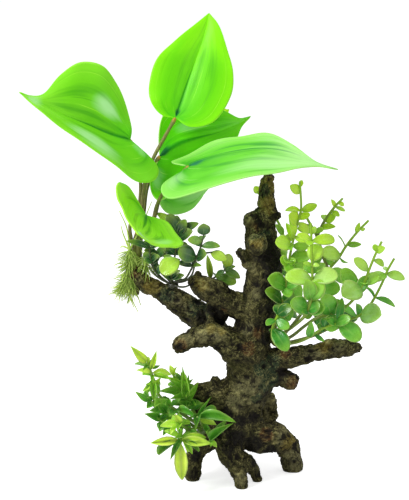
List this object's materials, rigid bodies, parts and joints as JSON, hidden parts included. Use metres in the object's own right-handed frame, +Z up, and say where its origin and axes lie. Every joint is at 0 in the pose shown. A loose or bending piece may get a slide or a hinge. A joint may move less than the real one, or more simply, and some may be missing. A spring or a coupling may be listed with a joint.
{
  "type": "aquarium plant on driftwood",
  "caption": "Gnarled driftwood stump standing on its own roots, carrying a heart-leaved aquarium plant, round-leaved shrubs and a narrow-leaved plant.",
  "frame": {"origin": "on the surface that the roots stand on, under the middle of the whole object", "axes": "+Z up along the trunk, +X to the right of the front view, +Y away from it"},
  "size_m": [0.2274, 0.1343, 0.2832],
  "materials": {
    "driftwood": "rough, dark brown with ochre crests",
    "big_leaf": "glossy lime green",
    "leaf_stalk": "satin olive brown",
    "moss": "matte yellow green",
    "light_shrub": "satin light green",
    "dark_shrub": "satin dark green",
    "narrow_plant": "satin green with yellow-green tips"
  },
  "bodies": {
    "root": {"wood_trunk": "driftwood", "wood_spire": "driftwood", "wood_long_arm": "driftwood", "wood_short_upper_branch": "driftwood", "wood_middle_left_branch": "driftwood", "wood_right_branch": "driftwood", "wood_right_stub": "driftwood", "wood_lower_left_limb": "driftwood", "wood_front_root": "driftwood", "wood_left_root": "driftwood", "wood_right_root": "driftwood", "wood_back_root": "driftwood", "wood_loop_root": "driftwood", "plant_crown": "leaf_stalk", "moss_tuft": "moss", "leaf_stalk_top": "leaf_stalk", "leaf_stalk_left": "leaf_stalk", "leaf_stalk_right": "leaf_stalk", "leaf_stalk_middle": "leaf_stalk", "leaf_stalk_back": "leaf_stalk", "leaf_stalk_low": "leaf_stalk", "leaf_stalk_folded": "leaf_stalk", "big_leaf_top": "big_leaf", "big_leaf_left": "big_leaf", "big_leaf_right": "big_leaf", "big_leaf_middle": "big_leaf", "big_leaf_back": "big_leaf", "big_leaf_low": "big_leaf", "big_leaf_folded": "big_leaf", "light_shrub_foot": "light_shrub", "light_shrub_tall": "light_shrub", "light_shrub_front": "light_shrub", "light_shrub_rear": "light_shrub", "light_shrub_right": "light_shrub", "light_shrub_far_right": "light_shrub", "light_shrub_low": "light_shrub", "light_shrub_near_trunk": "light_shrub", "light_shrub_behind_spire": "light_shrub", "dark_shrub_foot": "dark_shrub", "dark_shrub_right": "dark_shrub", "dark_shrub_behind_branch": "dark_shrub", "dark_shrub_upright": "dark_shrub", "dark_shrub_near": "dark_shrub", "dark_shrub_left": "dark_shrub", "dark_shrub_rear": "dark_shrub", "narrow_plant_foot": "narrow_plant", "narrow_plant_star": "narrow_plant", "narrow_plant_right": "narrow_plant", "narrow_plant_trunk_side": "narrow_plant", "narrow_plant_long": "narrow_plant", "narrow_plant_upright": "narrow_plant", "narrow_plant_left": "narrow_plant"}
  },
  "joints": []
}
